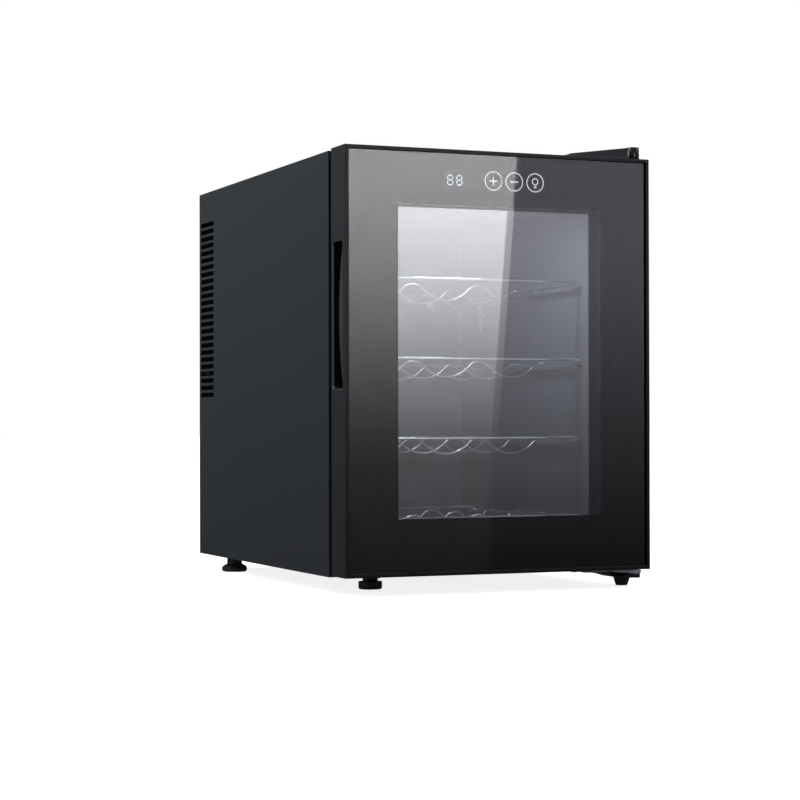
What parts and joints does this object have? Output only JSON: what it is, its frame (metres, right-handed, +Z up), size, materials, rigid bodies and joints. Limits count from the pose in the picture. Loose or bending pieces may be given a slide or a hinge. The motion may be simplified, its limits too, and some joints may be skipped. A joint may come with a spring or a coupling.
{
  "type": "wine cooler",
  "caption": "Countertop thermoelectric wine cooler: steel cabinet, insulated cavity with waved wire shelves, hinged glass door with touch display and edge grip.",
  "frame": {"origin": "on the floor under the middle of the cooler's overall box, feet standing on Z = 0", "axes": "+X to the right of someone facing the door, +Y towards the back, +Z up"},
  "size_m": [0.345, 0.493, 0.467],
  "materials": {
    "cabinet_paint": "satin",
    "bare_steel": "satin",
    "zinc_steel": "satin",
    "liner_plastic": "satin",
    "foam": "matte",
    "lens_plastic": "gloss",
    "circuit_board": "satin",
    "component_plastic": "satin",
    "aluminium": "satin",
    "ceramic": "matte",
    "fan_plastic": "satin",
    "cover_plastic": "satin",
    "black_plastic": "satin",
    "door_plastic": "satin",
    "brass_pins": "polished",
    "glass": "gloss",
    "black_ink": "gloss",
    "icon_ink": "matte",
    "digit_light": "gloss",
    "gasket_rubber": "matte",
    "magnet": "matte",
    "nylon": "satin",
    "chrome_wire": "polished",
    "foot_rubber": "matte"
  },
  "bodies": {
    "cabinet": {"side_panel_left": "cabinet_paint", "side_panel_right": "cabinet_paint", "face_frame": "cabinet_paint", "top_panel": "cabinet_paint", "base_panel": "cabinet_paint", "rear_panel": "cabinet_paint", "rear_panel_screws": "zinc_steel", "inner_liner": "liner_plastic", "insulation_foam": "foam", "rear_bulkhead": "bare_steel", "light_lens": "lens_plastic", "led_board": "circuit_board", "temperature_probe": "cover_plastic", "cold_sink": "aluminium", "cold_block": "aluminium", "peltier_module": "ceramic", "hot_sink": "aluminium", "exhaust_fan_frame": "fan_plastic", "inner_fan_frame": "fan_plastic", "inner_fan_cover": "cover_plastic", "fan_screws": "zinc_steel", "power_board": "circuit_board", "power_components": "component_plastic", "power_inlet": "black_plastic", "inlet_pins": "brass_pins", "upper_hinge_bracket": "zinc_steel", "upper_hinge_pin": "zinc_steel", "upper_hinge_cover": "black_plastic", "lower_hinge_bracket": "zinc_steel", "lower_hinge_pin": "zinc_steel", "lower_hinge_cover": "black_plastic", "hinge_screws": "zinc_steel", "rear_feet": "foot_rubber", "foot_socket": "black_plastic"},
    "door": {"door_frame": "door_plastic", "door_glass_front": "glass", "glass_mask": "black_ink", "touch_icons": "icon_ink", "display_module": "component_plastic", "display_digits": "digit_light", "control_board": "circuit_board", "touch_springs": "brass_pins", "glass_spacer": "black_plastic", "door_glass_rear": "glass", "door_inner_frame": "black_plastic", "door_foam": "foam", "door_gasket": "gasket_rubber", "gasket_magnet": "magnet", "handle_cup": "black_plastic", "handle_grip": "black_plastic", "hinge_bushes": "nylon"},
    "shelf_1_body": {"shelf_1": "chrome_wire"},
    "shelf_2_body": {"shelf_2": "chrome_wire"},
    "shelf_3_body": {"shelf_3": "chrome_wire"},
    "shelf_4_body": {"shelf_4": "chrome_wire"},
    "exhaust_rotor": {"exhaust_fan_rotor": "fan_plastic"},
    "inner_rotor": {"inner_fan_rotor": "fan_plastic"},
    "foot_left": {"front_foot_left": "foot_rubber"},
    "foot_right": {"front_foot_right": "foot_rubber"}
  },
  "joints": [
    {"name": "door_hinge", "type": "hinge", "parent": "cabinet", "child": "door", "pos_m": [0.1625, -0.227, 0.2363], "axis": [0, 0, 1], "range_deg": [0, 120]},
    {"name": "shelf_1_slide", "type": "slide", "parent": "cabinet", "child": "shelf_1_body", "axis": [0, -1, 0], "range_m": [0, 0.022]},
    {"name": "shelf_2_slide", "type": "slide", "parent": "cabinet", "child": "shelf_2_body", "axis": [0, -1, 0], "range_m": [0, 0.022]},
    {"name": "shelf_3_slide", "type": "slide", "parent": "cabinet", "child": "shelf_3_body", "axis": [0, -1, 0], "range_m": [0, 0.022]},
    {"name": "shelf_4_slide", "type": "slide", "parent": "cabinet", "child": "shelf_4_body", "axis": [0, -1, 0], "range_m": [0, 0.022]},
    {"name": "exhaust_fan_spin", "type": "hinge", "parent": "cabinet", "child": "exhaust_rotor", "pos_m": [0, 0.215, 0.23], "axis": [0, 1, 0], "continuous": true},
    {"name": "inner_fan_spin", "type": "hinge", "parent": "cabinet", "child": "inner_rotor", "pos_m": [0, 0.122, 0.23], "axis": [0, 1, 0], "continuous": true},
    {"name": "foot_left_travel", "type": "slide", "parent": "cabinet", "child": "foot_left", "axis": [0, 0, -1], "range_m": [0, 0.006]},
    {"name": "foot_right_travel", "type": "slide", "parent": "cabinet", "child": "foot_right", "axis": [0, 0, -1], "range_m": [0, 0.005]}
  ]
}
